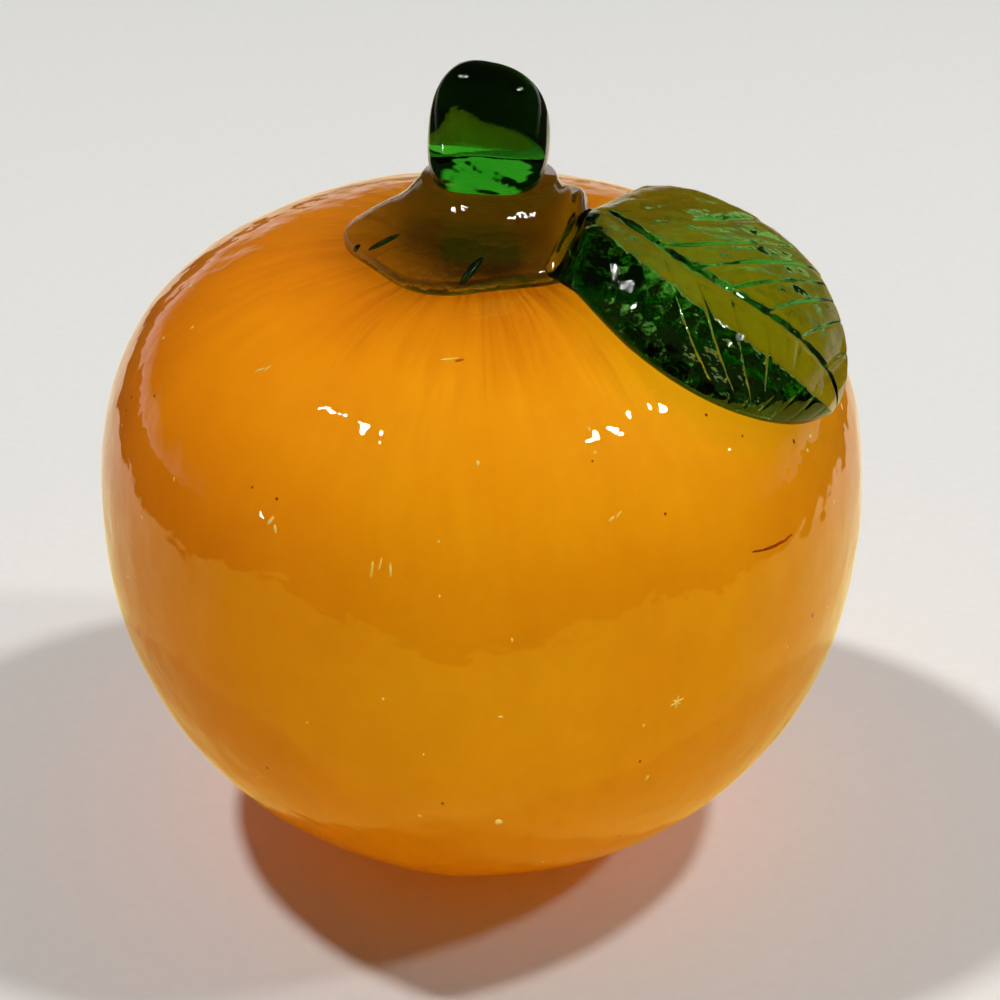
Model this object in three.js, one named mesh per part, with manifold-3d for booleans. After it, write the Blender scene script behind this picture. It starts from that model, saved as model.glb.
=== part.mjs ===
// Glass orange paperweight: a cased glass fruit with an applied green calyx, stem and leaf.
// Millimetres, +Z up. The origin is the centre of the ground base, and the leaf points towards +X.

import * as THREE from "three";
import { LoftGeometry } from "three/addons/geometries/LoftGeometry.js";
import { mergeVertices } from "three/addons/utils/BufferGeometryUtils.js";
import Module from "manifold-3d";

const wasm = await Module();
wasm.setup();

// Fruit body
const bodyRadius = 42.5;
const equatorHeight = 39; // from the ground base to the widest ring
const crownHeight = 33; // from the widest ring to the top, before the dimple is pressed in
const crownFullness = 2.82; // exponent of the superellipse over the top: 2 is a plain ellipse
const footRadius = 15.8; // the ground flat that the fruit stands on
const dimpleDepth = 2.2;
const dimpleRadius = 9.5;

// Glass layers, from the outside in
const casingThickness = 5;
const casingFootWall = 4.8; // width of the clear ring on the ground base
const colourThickness = 1.5;
const colourFootWall = 1.5; // width of the orange ring on the ground base
const fusionGap = 0.3; // seam between two pieces that are sealed together hot

// Calyx: the spread foot of the stem, pressed into the dimple
const calyxRadius = 13.3;
const calyxCentreX = -1;
const calyxCentreY = -2;
const calyxLobes = 5;
const calyxLobeDepth = 0.6;
const calyxFirstLobe = THREE.MathUtils.degToRad(176); // the lobe on the viewer's left
const calyxEdge = 1; // glass thickness just inside the rim
const calyxSwell = 1.5; // how much thicker the spread foot is under the fillet
const calyxSwellFullness = 3; // exponent: larger stays thick nearer to the rim
const calyxFillet = 2.2; // exponent of the sweep from the rim up to the boss
const bossRadius = 7.2;
const bossHeight = 8; // seat of the stem, above the bottom of the dimple
const bossX = 0.7;
const bossY = 0.5;

// Stem: a sheared-off stub of rod, rounded square, with a domed top and a slanted front
const stemHalfWidth = 6.65;
const stemHeight = 12.1;
const stemShoulder = 4.2; // exponents of the outline from foot to top: larger is squarer
const stemDome = 2.4;
const stemThinning = 0.45; // the top is this share less deep than the foot, so the front slants
const stemSquareness = 2.8; // exponent of the cross-section: 2 is round
const stemSway = 0.2; // how far the top stands to the right of the foot
const stemLean = 1.4; // how far it stands behind the foot
const stemTiltRight = THREE.MathUtils.degToRad(8); // the top slopes down to the right
const stemTiltBack = THREE.MathUtils.degToRad(4);
const stemTurn = THREE.MathUtils.degToRad(-11); // the front is turned to the viewer's left

// Leaf: pressed with a vein mould and draped over the shoulder, in lengths along the body
const leafAzimuth = THREE.MathUtils.degToRad(-23.4);
const leafRoot = 6.2; // from the top of the body to the root of the leaf
const leafLength = 36.9;
const leafFrontWidth = 16; // from the middle to the front edge
const leafBackWidth = 15.8; // from the middle to the back edge
const leafWidest = 1.19; // exponent that moves the widest place towards the tip
const leafRoundness = 0.59; // exponent of the outline: smaller is blunter
const leafBend = -3.5; // sideways sweep of the tip
const petioleHalfWidth = 2.3;
const petioleTaper = 4;
const leafEdge = 1.8; // thickness at the edge
const leafSwell = 3.6; // how much thicker the middle is
const leafFlat = 0.6; // share of the half-width at which the fall to the edge starts
const leafFall = 1.3; // exponent of that fall: 1 is a plain bevel
const leafTipFullness = 8; // exponent: larger stays thick nearer to the tip
const leafRootFullness = 0.55; // share of the swell at the root
const leafRootGrowth = 1.5; // how fast the swell grows from there
const leafClearance = 0.5; // least gap between the leaf and the body
const leafBackRise = 0.6; // how far the back edge lifts off the body
const leafRootRise = 4; // how far the back of the root climbs up the calyx
const leafRootReach = 12; // exponent: larger brings the leaf down on the body sooner
const leafRim = 8; // exponent of the rounded edge
const midribDepth = 0.5;
const midribHalfWidth = 0.06; // share of the leaf's half-width
const midribDrift = -0.37; // how far the midrib wanders to the front, as a share of the half-width
const veinCount = 8;
const veinDepth = 0.35;
const veinSharpness = 14; // exponent: larger makes narrower grooves
const veinSweep = 0.35; // how far the veins lean towards the tip, as a share of the length
const veinEdgeFade = 4; // exponent: the veins run out just inside the edge
const veinEndFade = 0.3; // exponent: the veins run out at the root and the tip

// Facets
const roundSegments = 36;
const crownSteps = 15;
const bowlSteps = 8;
const calyxSegments = 36;
const calyxTopSteps = 7;
const calyxUnderSteps = 5;
const calyxRimShare = 0.95; // where the top and the underside run into the rounded rim
const calyxPoleShare = 0.06; // a small flat closes the middle of the underside
const stemSegments = 24;
const stemSteps = 14;
const stemTopTurn = 1.45; // radians, short of a quarter turn: a small flat closes the top
const leafColumns = 14;
const rowsPerVein = 4;
const leafTipRow = 0.995; // a small flat closes the tip

const clearGlass = new THREE.MeshStandardMaterial({ color: 0xf4eee2, roughness: 0.05, metalness: 0 });
const orangeGlass = new THREE.MeshStandardMaterial({ color: 0xe2820f, roughness: 0.15, metalness: 0 });
const opalGlass = new THREE.MeshStandardMaterial({ color: 0xf3e9d2, roughness: 0.2, metalness: 0 });
const greenGlass = new THREE.MeshStandardMaterial({ color: 0x2c5a14, roughness: 0.06, metalness: 0 });

// One surface between two layers, as far inside the fruit's outer skin as the insets say
function layerSurface(inset, footInset) {
  const radius = bodyRadius - inset;
  const foot = footRadius - footInset;
  const drop = equatorHeight / Math.sqrt(1 - (foot / radius) ** 2);
  return { radius, foot, drop, crown: crownHeight - inset };
}

const outerSkin = layerSurface(0, 0);

// Height of a layer's top: a superellipse, dented by a bell-shaped dimple
function crownZ(surface, r) {
  const share = Math.min(r / surface.radius, 1);
  const dome = surface.crown * (1 - share ** crownFullness) ** (1 / crownFullness);
  const dent = dimpleDepth * Math.exp(-((r / dimpleRadius) ** 2));
  return equatorHeight + dome - dent;
}

// Half section of a layer, from its edge on the base, round the bowl and over the crown to the axis
function layerProfile(surface) {
  const points = [];
  const lowest = -Math.asin(equatorHeight / surface.drop);
  for (let i = 0; i < bowlSteps; i += 1) {
    const angle = lowest * (1 - i / bowlSteps);
    const r = surface.radius * Math.cos(angle);
    points.push(new THREE.Vector2(r, equatorHeight + surface.drop * Math.sin(angle)));
  }
  points[0].set(surface.foot, 0);
  for (let i = 0; i <= crownSteps; i += 1) {
    const r = surface.radius * Math.cos((i / crownSteps) * (Math.PI / 2));
    points.push(new THREE.Vector2(r, crownZ(surface, r)));
  }
  points[points.length - 1].x = 0;
  return points;
}

// A solid of revolution about the upright axis
function turned(name, profile, material) {
  const mesh = new THREE.Mesh(new THREE.LatheGeometry(profile, roundSegments), material);
  mesh.name = name;
  mesh.rotation.x = Math.PI / 2;
  return mesh;
}

// A layer of glass between two surfaces, open where the base is ground off
function shell(name, outside, inside, material) {
  const outer = layerProfile(outside);
  const inner = layerProfile(inside).reverse();
  return turned(name, [...outer, ...inner, outer[0].clone()], material);
}

function core(name, outside, material) {
  return turned(name, [new THREE.Vector2(0, 0), ...layerProfile(outside)], material);
}

// The meridian over the crown, from the axis to the widest ring
class CrownMeridian extends THREE.Curve {
  getPoint(t, target = new THREE.Vector2()) {
    const r = bodyRadius * Math.sin((t * Math.PI) / 2);
    return target.set(r, crownZ(outerSkin, r));
  }
}

const meridian = new CrownMeridian();
const meridianLength = meridian.getLength();

// A point above the body: lengths along and across the leaf are laid out on the skin from the axis,
// and lift is measured square to the skin
function drape(along, across, lift) {
  const u = Math.hypot(along, across) / meridianLength;
  const place = meridian.getPointAt(u);
  const slope = meridian.getTangentAt(u);
  const angle = leafAzimuth + Math.atan2(across, along);
  const r = place.x - slope.y * lift;
  const z = place.y + slope.x * lift;
  return new THREE.Vector3(r * Math.cos(angle), r * Math.sin(angle), z);
}

const seatZ = crownZ(outerSkin, 0) + bossHeight;

// The calyx, larger all round by grow: a flat boss that sweeps out to a lobed rim on the dimple
function calyxGeometry(grow) {
  const rimAt = (angle) => {
    const lobe = calyxLobeDepth * Math.cos(calyxLobes * (angle - calyxFirstLobe));
    const reach = calyxRadius + grow + lobe;
    const x = calyxCentreX + reach * Math.cos(angle);
    const y = calyxCentreY + reach * Math.sin(angle);
    return new THREE.Vector2(x, y);
  };
  const bossAt = (angle) => {
    const reach = bossRadius + grow;
    return new THREE.Vector2(bossX + reach * Math.cos(angle), bossY + reach * Math.sin(angle));
  };
  const bodyZ = (plan) => crownZ(outerSkin, plan.length());
  const ring = (pointAt) => {
    const points = [];
    for (let i = 0; i < calyxSegments; i += 1) {
      points.push(pointAt((-2 * Math.PI * i) / calyxSegments));
    }
    return points;
  };
  const topRing = (share) => ring((angle) => {
    const plan = bossAt(angle).lerp(rimAt(angle), share);
    const swell = calyxSwell * (1 - share ** calyxSwellFullness);
    const spread = bodyZ(plan) + calyxEdge + swell;
    const sweep = (1 - share) ** calyxFillet;
    return new THREE.Vector3(plan.x, plan.y, spread + (seatZ - spread) * sweep + grow);
  });
  const rimRing = ring((angle) => {
    const plan = rimAt(angle);
    const height = (fusionGap + calyxEdge) / 2;
    return new THREE.Vector3(plan.x, plan.y, bodyZ(plan) + height);
  });
  const underRing = (share) => ring((angle) => {
    const centre = new THREE.Vector2(calyxCentreX, calyxCentreY);
    const plan = centre.lerp(rimAt(angle), share);
    return new THREE.Vector3(plan.x, plan.y, bodyZ(plan) + fusionGap - grow);
  });
  const sections = [];
  for (let i = 0; i <= calyxTopSteps; i += 1) {
    sections.push(topRing(calyxRimShare * (i / calyxTopSteps) ** calyxFillet));
  }
  sections.push(rimRing);
  for (let i = 0; i <= calyxUnderSteps; i += 1) {
    sections.push(underRing(THREE.MathUtils.lerp(calyxRimShare, calyxPoleShare, i / calyxUnderSteps)));
  }
  return new LoftGeometry(sections, { capStart: true, capEnd: true });
}

// The stem, larger all round by grow: a stub of rod of rounded squares that tilt towards the domed top
function stemGeometry(grow) {
  const foot = new THREE.Vector3(bossX, bossY, seatZ + fusionGap - grow);
  const rise = new THREE.Vector3(stemSway, stemLean, stemHeight + grow);
  const sideways = new THREE.Vector3(Math.cos(stemTurn), Math.sin(stemTurn), 0);
  const ring = (share) => {
    const centre = foot.clone().addScaledVector(rise, share);
    const slope = new THREE.Vector3(Math.tan(stemTiltRight), Math.tan(stemTiltBack), 0);
    const heading = slope.multiplyScalar(share).setZ(1).normalize();
    const right = sideways.clone().projectOnPlane(heading).normalize();
    const ahead = new THREE.Vector3().crossVectors(heading, right);
    const halfWidth = (stemHalfWidth + grow) * (1 - share ** stemShoulder) ** (1 / stemDome);
    const halfDepth = halfWidth * (1 - stemThinning * share);
    const points = [];
    for (let i = 0; i < stemSegments; i += 1) {
      const angle = (2 * Math.PI * i) / stemSegments;
      const x = Math.sign(Math.cos(angle)) * Math.abs(Math.cos(angle)) ** (2 / stemSquareness);
      const y = Math.sign(Math.sin(angle)) * Math.abs(Math.sin(angle)) ** (2 / stemSquareness);
      const point = centre.clone().addScaledVector(right, halfWidth * x);
      points.push(point.addScaledVector(ahead, halfDepth * y));
    }
    return points;
  };
  const sections = [];
  for (let step = 0; step <= stemSteps; step += 1) {
    sections.push(ring(Math.sin((stemTopTurn * step) / stemSteps)));
  }
  return new LoftGeometry(sections, { capStart: true, capEnd: true });
}

// Half-width of the leaf at a share of its length, on the side that the sign of across gives
function leafHalfWidth(share, across) {
  const side = across < 0 ? leafFrontWidth : leafBackWidth;
  const blade = Math.max(Math.sin(Math.PI * share ** leafWidest), 0) ** leafRoundness;
  return side * blade + petioleHalfWidth * (1 - share) ** petioleTaper;
}

const leanPeak = 27 / 4; // makes the highest value of x (1 - x)^2 equal to 1

// One point of the leaf. Lines of equal row are the side veins, which lean towards the tip.
// Column runs from the front edge at -1, over the midrib at 0, to the back edge at 1.
function leafPoint(row, column, isTop) {
  const share = row + veinSweep * Math.abs(column) * leanPeak * row * (1 - row) ** 2;
  const arch = Math.sin(Math.PI * share);
  const across = column + midribDrift * arch * (1 - column ** 2);
  const width = leafHalfWidth(share, across);
  const halfEdge = (leafEdge / 2) * Math.sqrt(1 - Math.abs(column) ** leafRim);
  const fall = Math.max((Math.abs(across) - leafFlat) / (1 - leafFlat), 0) ** leafFall;
  const rootFullness = Math.min(leafRootFullness + leafRootGrowth * share, 1);
  const fullness = rootFullness * Math.sqrt(1 - share ** leafTipFullness);
  const swell = leafSwell * fullness * (1 - fall);
  const middle = leafClearance + leafEdge / 2;
  const backShare = (1 + across) / 2;
  const rootRise = leafRootRise * (1 - share) ** leafRootReach;
  const rise = (leafBackRise * arch + rootRise) * backShare;
  const groove = Math.cos(Math.PI * veinCount * row) ** veinSharpness;
  const vein = veinDepth * groove * (1 - Math.abs(column) ** veinEdgeFade);
  const midrib = midribDepth * Math.exp(-((column / midribHalfWidth) ** 2));
  const relief = Math.max(vein, midrib) * arch ** veinEndFade;
  const lift = middle + rise + (isTop ? halfEdge + swell - relief : -halfEdge);
  return drape(leafRoot + leafLength * share, width * across + leafBend * share ** 2, lift);
}

function leafGeometry() {
  const rows = veinCount * rowsPerVein;
  const sections = [];
  for (let i = 0; i <= rows; i += 1) {
    const row = Math.min(i / rows, leafTipRow);
    const points = [];
    for (let j = 0; j <= leafColumns; j += 1) {
      points.push(leafPoint(row, Math.cos((Math.PI * j) / leafColumns), true));
    }
    for (let j = leafColumns - 1; j > 0; j -= 1) {
      points.push(leafPoint(row, Math.cos((Math.PI * j) / leafColumns), false));
    }
    sections.push(points);
  }
  return new LoftGeometry(sections, { capStart: true, capEnd: true });
}

// A closed geometry as a solid that can be joined and cut
function solid(geometry) {
  const bare = new THREE.BufferGeometry();
  bare.setAttribute("position", geometry.attributes.position);
  bare.setIndex(geometry.index);
  const merged = mergeVertices(bare);
  const vertProperties = new Float32Array(merged.attributes.position.array);
  const triVerts = new Uint32Array(merged.index.array);
  return new wasm.Manifold(new wasm.Mesh({ numProp: 3, vertProperties, triVerts }));
}

function geometryOf(body) {
  const mesh = body.getMesh();
  const geometry = new THREE.BufferGeometry();
  geometry.setAttribute("position", new THREE.BufferAttribute(new Float32Array(mesh.vertProperties), 3));
  geometry.setIndex(new THREE.BufferAttribute(new Uint32Array(mesh.triVerts), 1));
  geometry.computeVertexNormals();
  return geometry;
}

function piece(name, geometry, material) {
  const mesh = new THREE.Mesh(geometry, material);
  mesh.name = name;
  return mesh;
}

// The leaf's root is moulded round the calyx and the stem, a seam's width away
function fittedLeaf() {
  const calyxSpace = solid(calyxGeometry(fusionGap));
  const stemSpace = solid(stemGeometry(fusionGap));
  return geometryOf(solid(leafGeometry()).subtract(calyxSpace).subtract(stemSpace));
}

const casingInside = layerSurface(casingThickness, casingFootWall);
const colourOutside = layerSurface(casingThickness + fusionGap, casingFootWall + fusionGap);
const colourInset = casingThickness + fusionGap + colourThickness;
const colourFootInset = casingFootWall + fusionGap + colourFootWall;
const colourInside = layerSurface(colourInset, colourFootInset);
const opalOutside = layerSurface(colourInset + fusionGap, colourFootInset + fusionGap);

const paperweight = new THREE.Group();
paperweight.add(
  core("opal_core", opalOutside, opalGlass),
  shell("orange_layer", colourOutside, colourInside, orangeGlass),
  shell("clear_casing", outerSkin, casingInside, clearGlass),
  piece("calyx", calyxGeometry(0), greenGlass),
  piece("stem", stemGeometry(0), greenGlass),
  piece("leaf", fittedLeaf(), greenGlass),
);

export default paperweight;
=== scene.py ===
import math

import bpy
import numpy as np
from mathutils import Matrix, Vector


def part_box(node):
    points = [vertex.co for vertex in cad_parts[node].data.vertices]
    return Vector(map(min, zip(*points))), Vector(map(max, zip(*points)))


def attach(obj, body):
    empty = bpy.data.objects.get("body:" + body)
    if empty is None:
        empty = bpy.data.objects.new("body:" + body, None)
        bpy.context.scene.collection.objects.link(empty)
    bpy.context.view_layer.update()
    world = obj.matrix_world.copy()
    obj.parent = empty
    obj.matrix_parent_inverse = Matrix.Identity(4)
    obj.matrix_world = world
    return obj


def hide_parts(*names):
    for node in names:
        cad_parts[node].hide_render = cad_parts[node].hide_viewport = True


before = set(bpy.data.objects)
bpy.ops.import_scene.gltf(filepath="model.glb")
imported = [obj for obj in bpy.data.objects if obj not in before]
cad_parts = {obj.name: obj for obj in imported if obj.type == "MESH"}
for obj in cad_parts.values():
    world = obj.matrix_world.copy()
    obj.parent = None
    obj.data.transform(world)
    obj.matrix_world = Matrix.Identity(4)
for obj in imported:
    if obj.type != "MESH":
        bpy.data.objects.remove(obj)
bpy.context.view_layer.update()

# Glass orange paperweight: a cased glass fruit with an applied green calyx, stem and leaf.
# Metres, +Z up, the ground base at the origin, the viewer at -Y.
MM = 0.001

# Fruit body
BODY_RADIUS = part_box("clear_casing")[1].x
EQUATOR = 39 * MM
CROWN = 33 * MM  # height over the equator, before the dimple is pressed in
FULLNESS = 2.82  # exponent of the crown's section: 2 is an ellipse, and more is fuller
FOOT = 15.8 * MM
DIMPLE_DEPTH, DIMPLE_RADIUS = 2.2 * MM, 9.5 * MM
CASING_RIPPLES = dict(shortest=3 * MM, longest=26 * MM, slope=0.034, count=60, seed=5)
CASING_CALM = 4 * MM  # the ripples fade out this far above the ground base

# Glass layers, as depths below the outer skin on the wall and on the ground base
COLOUR_DEPTH, COLOUR_FOOT_DEPTH = 5.3 * MM, 5.1 * MM
OPAL_DEPTH, OPAL_FOOT_DEPTH = 6.8 * MM, 6.6 * MM
WETTED = 0.05 * MM  # the clear glass reaches this far into the colour, so no air shows between them

# Calyx
CALYX_RADIUS = 13.3 * MM
CALYX_CENTRE = np.array([-1.0, -2.0]) * MM
CALYX_LOBES, CALYX_LOBE_DEPTH, CALYX_FIRST_LOBE = 5, 0.6 * MM, math.radians(176)
CALYX_EDGE, CALYX_SWELL = 1.0 * MM, 1.5 * MM
CALYX_FILLET = 2.2  # exponent of the sweep from the boss to the spread foot
CALYX_LIP, CALYX_CROWDING = 0.97, 1.2  # where the top turns over, and how its rows crowd to the boss
CALYX_UNDER = 0.985, 0.05  # shares of the rim between which the underside runs inward
CALYX_RIPPLES = dict(shortest=4 * MM, longest=12 * MM, slope=0.07, count=16, seed=8)
SADDLE, SADDLE_BEARING, SADDLE_WIDTH = 3.3 * MM, math.radians(-4), 0.65  # it meets the leaf's root
BOSS_RADIUS, BOSS_HEIGHT = 7.2 * MM, 8 * MM
BOSS_CENTRE = np.array([0.7, 0.5]) * MM
SUNK = 0.4 * MM  # hot glass sinks this far into what it is sealed to

# Stem
STEM_SEAM = 0.05 * MM  # a film of air under the stem, which mirrors the light from behind
STEM_HALF, STEM_HEIGHT = 6.65 * MM, 12.1 * MM
STEM_SHOULDER, STEM_DOME = 4.2, 2.4  # exponents of the outline from foot to top
STEM_THINNING, STEM_BACK_THINNING = 0.45, 0.75  # the top is these shares less deep than the foot
STEM_SQUARENESS = 2.8  # exponent of the plan: 2 is round, and more is squarer
STEM_SWAY, STEM_LEAN = 0.2 * MM, 1.4 * MM
STEM_TILT_RIGHT, STEM_TILT_BACK, STEM_TURN = math.radians(8), math.radians(4), math.radians(-11)
STEM_FOOT_ROUND, STEM_FOOT_REACH = 0.13, 0.1  # how far the lower edge draws in, and over what share
STEM_DENTS = dict(shortest=5 * MM, longest=14 * MM, slope=0.05, count=16, seed=11)
STEM_TOP = 0.97  # the rings stop just short of the axis
FOOT_SPAN, FOOT_CALM = (0.03, 0.97), 6  # the foot's rings, and the exponent that calms its edge
FOOT_CRINKLES = dict(shortest=1 * MM, longest=6 * MM, slope=0.2, count=24, seed=21)

# Leaf, in lengths laid out along the body. Pairs are where something starts and where it is whole.
LEAF_AZIMUTH = math.radians(-23.4)
LEAF_ROOT, LEAF_LENGTH = 6.2 * MM, 36.9 * MM
LEAF_START, LEAF_END = 0.12, 0.997
LEAF_FRONT_WIDTH, LEAF_BACK_WIDTH = 16 * MM, 15.8 * MM
LEAF_WIDEST, LEAF_ROUNDNESS, LEAF_BEND = 1.19, 0.59, -3.5 * MM
PETIOLE_WIDTH, PETIOLE_TAPER = 2.3 * MM, 4
LEAF_EDGE, LEAF_SWELL, LEAF_CLEARANCE = 1.8 * MM, 3.6 * MM, 0.5 * MM
LEAF_FLAT, LEAF_BEVEL, LEAF_RIM = 0.6, 1.3, 8
LEAF_TIP = 5  # exponent of the swell's fall to the tip
LEAF_BACK_RISE, LEAF_ROOT_RISE, LEAF_ROOT_REACH = 0.6 * MM, 4 * MM, 12
LEAF_FEATHER, LEAF_FILM, LEAF_BLUNTNESS = 0.13, 0.03, 0.8  # the root thins out to a film of the leaf
LEAF_SINKING = 0.06
LEAF_ON_CALYX = 0.45, 0.25
LEAF_RIPPLES = dict(shortest=0.9 * MM, longest=4 * MM, slope=0.1, count=24, seed=41)
LEAF_SETTLING = 0.05 * MM
MIDRIB_DEPTH, MIDRIB_HALF_WIDTH, MIDRIB_DRIFT = 0.4 * MM, 0.03, -0.37
MIDRIB_RISE = 0.1, 0.3
VEINS, VEIN_DEPTH, VEIN_MEAN, VEIN_SHARPNESS = 10, 0.3 * MM, 0.55, 40
VEIN_SWEEP, VEIN_SWEEP_START = 0.35, 0.2
VEIN_RISE, VEIN_STOP, VEIN_FRONT = (0.2, 0.6), (0.85, 0.7), 0.4
CRIMPS, CRIMP_DEPTH, CRIMP_SHARPNESS = 24, 0.08 * MM, 16
CRIMP_RISE = -0.6, -0.7
FOLD_HEIGHT, FOLD_SHARE, FOLD_LENGTH, FOLD_ACROSS, FOLD_BREADTH = 0.5 * MM, 0.72, 0.06, 0.82, 0.12

# The photograph's camera, found from the body's outline
VIEW_ELEVATION = math.radians(28)
VIEW_DISTANCE = 7.5 * BODY_RADIUS
FRAME_PIXELS = 1000
FOCUS_PIXELS = 2830
AXIS_PIXEL = 482.5  # column of the fruit's axis
SENSOR = 36


# Mesh making

def ring_faces(rows, columns):
    """Point numbers round the faces over rings of points, and each face's corner count: quads join the
    rings, and a fan of triangles shuts both ends on the last two points."""
    here = np.arange(columns)
    after = np.roll(here, -1)
    start = np.arange(rows - 1)[:, None] * columns
    walls = np.stack([start + here, start + after, start + columns + after, start + columns + here], -1)
    low, high = rows * columns, rows * columns + 1
    top = (rows - 1) * columns
    floor = np.stack([np.full(columns, low), after, here], -1)
    lid = np.stack([np.full(columns, high), top + here, top + after], -1)
    corners = np.concatenate([walls.ravel(), floor.ravel(), lid.ravel()])
    sizes = np.concatenate([np.full(walls.size // 4, 4), np.full(2 * columns, 3)])
    return corners, sizes


def closed_mesh(rings):
    """A closed skin over rings of points."""
    rows, columns, _ = rings.shape
    points = np.concatenate([rings.reshape(-1, 3), rings[[0, -1]].mean(axis=1)])
    return mesh_of(points, *ring_faces(rows, columns))


def bead_mesh(centre, axes, rings=5, columns=8):
    """Small closed drops: a ball of a few rings, stretched along the three half-axes of each drop."""
    polar = np.linspace(0, np.pi, rings + 2)[1:-1, None]
    turn = np.linspace(0, 2 * np.pi, columns, endpoint=False)
    sine = np.sin(polar)
    ball = np.stack([sine * np.cos(turn), sine * np.sin(turn), 0 * turn - np.cos(polar)], -1)
    ball = np.concatenate([ball.reshape(-1, 3), [(0, 0, -1), (0, 0, 1)]])
    corners, sizes = ring_faces(rings, columns)
    points = centre[:, None] + ball @ axes
    corners = corners + np.arange(len(centre))[:, None] * len(ball)
    return mesh_of(points.reshape(-1, 3), corners.ravel(), np.tile(sizes, len(centre)))


def mesh_of(points, corners, sizes):
    """A smooth mesh from its points, the point numbers round all its faces, and each face's corner
    count."""
    mesh = bpy.data.meshes.new("glass")
    mesh.vertices.add(len(points))
    mesh.vertices.foreach_set("co", points.astype(np.float32).ravel())
    mesh.loops.add(len(corners))
    mesh.loops.foreach_set("vertex_index", corners.astype(np.int32))
    mesh.polygons.add(len(sizes))
    mesh.polygons.foreach_set("loop_start", (np.cumsum(sizes) - sizes).astype(np.int32))
    mesh.polygons.foreach_set("use_smooth", np.ones(len(sizes), bool))
    mesh.update(calc_edges=True)
    mesh.validate()
    return mesh


def piece(name, mesh, material, slot, *nodes):
    """A finished piece of the paperweight, which stands for the named solids."""
    mesh.name = name
    mesh.materials.append(material)
    made = bpy.data.objects.new(name, mesh)
    bpy.context.collection.objects.link(made)
    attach(made, "root")
    if nodes:
        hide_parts(*nodes)
    return made


def rise(value, start, whole):
    """A straight ramp from 0 at the start to 1 where it is whole, and level beyond both."""
    return np.clip((value - start) / (whole - start), 0, 1)


def ripples(points, shortest, longest, slope, count, seed):
    """Unevenness of hand-worked glass: a sum of plane waves in mixed directions, of the given
    wavelengths. Each wave has the same share of the mean slope."""
    dice = np.random.default_rng(seed)
    heading = dice.normal(size=(3, count))
    heading /= np.linalg.norm(heading, axis=0)
    number = 2 * np.pi / np.geomspace(shortest, longest, count)
    phase = dice.uniform(0, 2 * np.pi, count)
    height = slope / number * math.sqrt(2 / count)
    return (np.sin(points @ (heading * number) + phase) * height).sum(axis=-1)


# Fruit body

def layer(depth, foot_depth):
    """One surface between two layers: its radius, foot radius, the drop of its bowl and its crown height.
    The bowl is an ellipse that passes through the foot's edge on the base."""
    radius = BODY_RADIUS - depth
    foot = FOOT - foot_depth
    drop = EQUATOR / math.sqrt(1 - (foot / radius) ** 2)
    return radius, foot, drop, CROWN - depth


def crown_height(surface, r):
    """Height of a layer's top at a radius: a superellipse, dented by a bell-shaped dimple."""
    radius, _, _, crown = surface
    share = np.clip(r / radius, 0, 1)
    dome = crown * (1 - share ** FULLNESS) ** (1 / FULLNESS)
    return EQUATOR + dome - DIMPLE_DEPTH * np.exp(-(r / DIMPLE_RADIUS) ** 2)


def half_section(surface, bowl_steps, crown_steps, last=0.9995):
    """Radius and height along a layer, from its foot, round the bowl and over the crown, almost to the
    axis."""
    radius, foot, drop, _ = surface
    turn = -math.asin(EQUATOR / drop) * np.linspace(1, 0, bowl_steps, endpoint=False)
    bowl = np.stack([radius * np.cos(turn), EQUATOR + drop * np.sin(turn)], -1)
    bowl[0] = foot, 0
    r = radius * np.cos(np.linspace(0, last, crown_steps) * np.pi / 2)
    return np.concatenate([bowl, np.stack([r, crown_height(surface, r)], -1)])


def turned(section, columns):
    """A half section turned about the upright axis, as one ring for each of its points."""
    angle = np.linspace(0, 2 * np.pi, columns, endpoint=False)
    r, z = section[:, :1], section[:, 1:]
    return np.stack([r * np.cos(angle), r * np.sin(angle), z + 0 * angle], -1)


def outward(section):
    """Unit normals of a half section, to the right of the way it runs."""
    along = np.gradient(section, axis=0)
    along /= np.linalg.norm(along, axis=1, keepdims=True)
    return np.stack([along[:, 1], -along[:, 0]], -1)


OUTER_SKIN = layer(0, 0)
WETTED_SKIN = layer(COLOUR_DEPTH + WETTED, COLOUR_FOOT_DEPTH + WETTED)
COLOUR_SKIN = layer(COLOUR_DEPTH, COLOUR_FOOT_DEPTH)
OPAL_SKIN = layer(OPAL_DEPTH, OPAL_FOOT_DEPTH)


def casing_rings(columns=400):
    """The clear casing: its inner wall down from the axis, across the base, and its outer wall back up.
    The outer wall is pressed in by ripples that the gathering left, and never stands proud of the skin."""
    outer = half_section(OUTER_SKIN, 90, 120)
    wall = turned(outer, columns)
    normal = turned(outward(outer), columns)
    swell = ripples(wall, **CASING_RIPPLES)
    press = (swell - swell.max()) * rise(wall[..., 2], 0, CASING_CALM)
    inner = turned(half_section(WETTED_SKIN, 14, 20)[::-1], columns)
    return np.concatenate([inner, wall + normal * press[..., None]])


def colour_rings(columns=160):
    """The orange layer: its inner wall down from the axis, across the base, and its outer wall back
    up."""
    outer = turned(half_section(COLOUR_SKIN, 50, 70), columns)
    inner = turned(half_section(OPAL_SKIN, 12, 16)[::-1], columns)
    return np.concatenate([inner, outer])


# Calyx

SEAT = crown_height(OUTER_SKIN, 0) + BOSS_HEIGHT


def skin_height(plan):
    """Height of the body's skin under points of the plan."""
    return crown_height(OUTER_SKIN, np.linalg.norm(plan, axis=-1))


def calyx_rim(angle):
    """Plan of the rim at a bearing: a circle with a cosine wave of lobes."""
    reach = CALYX_RADIUS + CALYX_LOBE_DEPTH * np.cos(CALYX_LOBES * (angle - CALYX_FIRST_LOBE))
    return CALYX_CENTRE + np.stack([np.cos(angle), np.sin(angle)], -1) * reach[..., None]


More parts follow.
